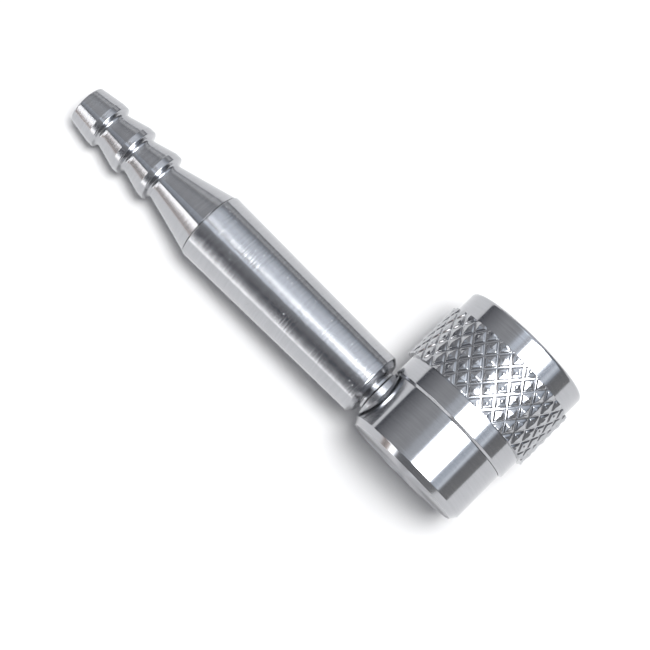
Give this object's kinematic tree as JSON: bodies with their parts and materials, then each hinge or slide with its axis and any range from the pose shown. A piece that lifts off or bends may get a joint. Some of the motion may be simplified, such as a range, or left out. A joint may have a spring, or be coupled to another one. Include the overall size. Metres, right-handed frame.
{
  "type": "carbon dioxide diffuser",
  "caption": "Turned steel aquarium carbon dioxide diffuser: knurled screw cap over a ceramic disc, short head, tapered side stem with a non-return valve and a hose barb.",
  "frame": {"origin": "centre of the head's base face", "axes": "+Y up the head's axis to the diffusing face, -X along the stem to the hose barb, +Z square to both"},
  "size_m": [0.0619, 0.0192, 0.017],
  "materials": {
    "stainless_steel": "satin",
    "black_rubber": "matte",
    "porous_ceramic": "matte",
    "white_slip_plastic": "matte",
    "spring_steel": "satin"
  },
  "bodies": {
    "head": {"head_cup": "stainless_steel", "lower_gasket": "black_rubber", "ceramic_disc": "porous_ceramic", "upper_gasket": "black_rubber"},
    "cap_ring": {"slip_ring": "white_slip_plastic"},
    "cap": {"knurled_cap": "stainless_steel"},
    "neck_ring": {"neck_o_ring": "black_rubber"},
    "stem": {"stem_barrel": "stainless_steel", "barb_tail": "stainless_steel", "tail_o_ring": "black_rubber", "valve_seat": "black_rubber", "valve_spring": "spring_steel"},
    "valve": {"valve_poppet": "white_slip_plastic"}
  },
  "joints": [
    {"name": "cap_lift", "type": "slide", "parent": "head", "child": "cap_ring", "axis": [0, 1, 0], "range_m": [0, 0.0044]},
    {"name": "cap_turn", "type": "hinge", "parent": "cap_ring", "child": "cap", "pos_m": [0, 0.013, 0], "axis": [0, 1, 0], "range_deg": [0, 1260]},
    {"name": "stem_shift", "type": "slide", "parent": "head", "child": "neck_ring", "axis": [-1, 0, 0], "range_m": [0, 0.00246]},
    {"name": "stem_turn", "type": "hinge", "parent": "neck_ring", "child": "stem", "pos_m": [-0.0078, 0.0043, 0], "axis": [-1, 0, 0], "range_deg": [0, 1260]},
    {"name": "valve_slide", "type": "slide", "parent": "stem", "child": "valve", "axis": [1, 0, 0], "range_m": [0, 0.001], "stiffness_N_per_m": 50, "springref_m": -0.002, "deforming": ["valve_spring"]}
  ],
  "couplings": [
    {"joint": "cap_lift", "follows": "cap_turn", "m_per_rad": 0.00019894},
    {"joint": "stem_shift", "follows": "stem_turn", "m_per_rad": 0.00011141}
  ]
}
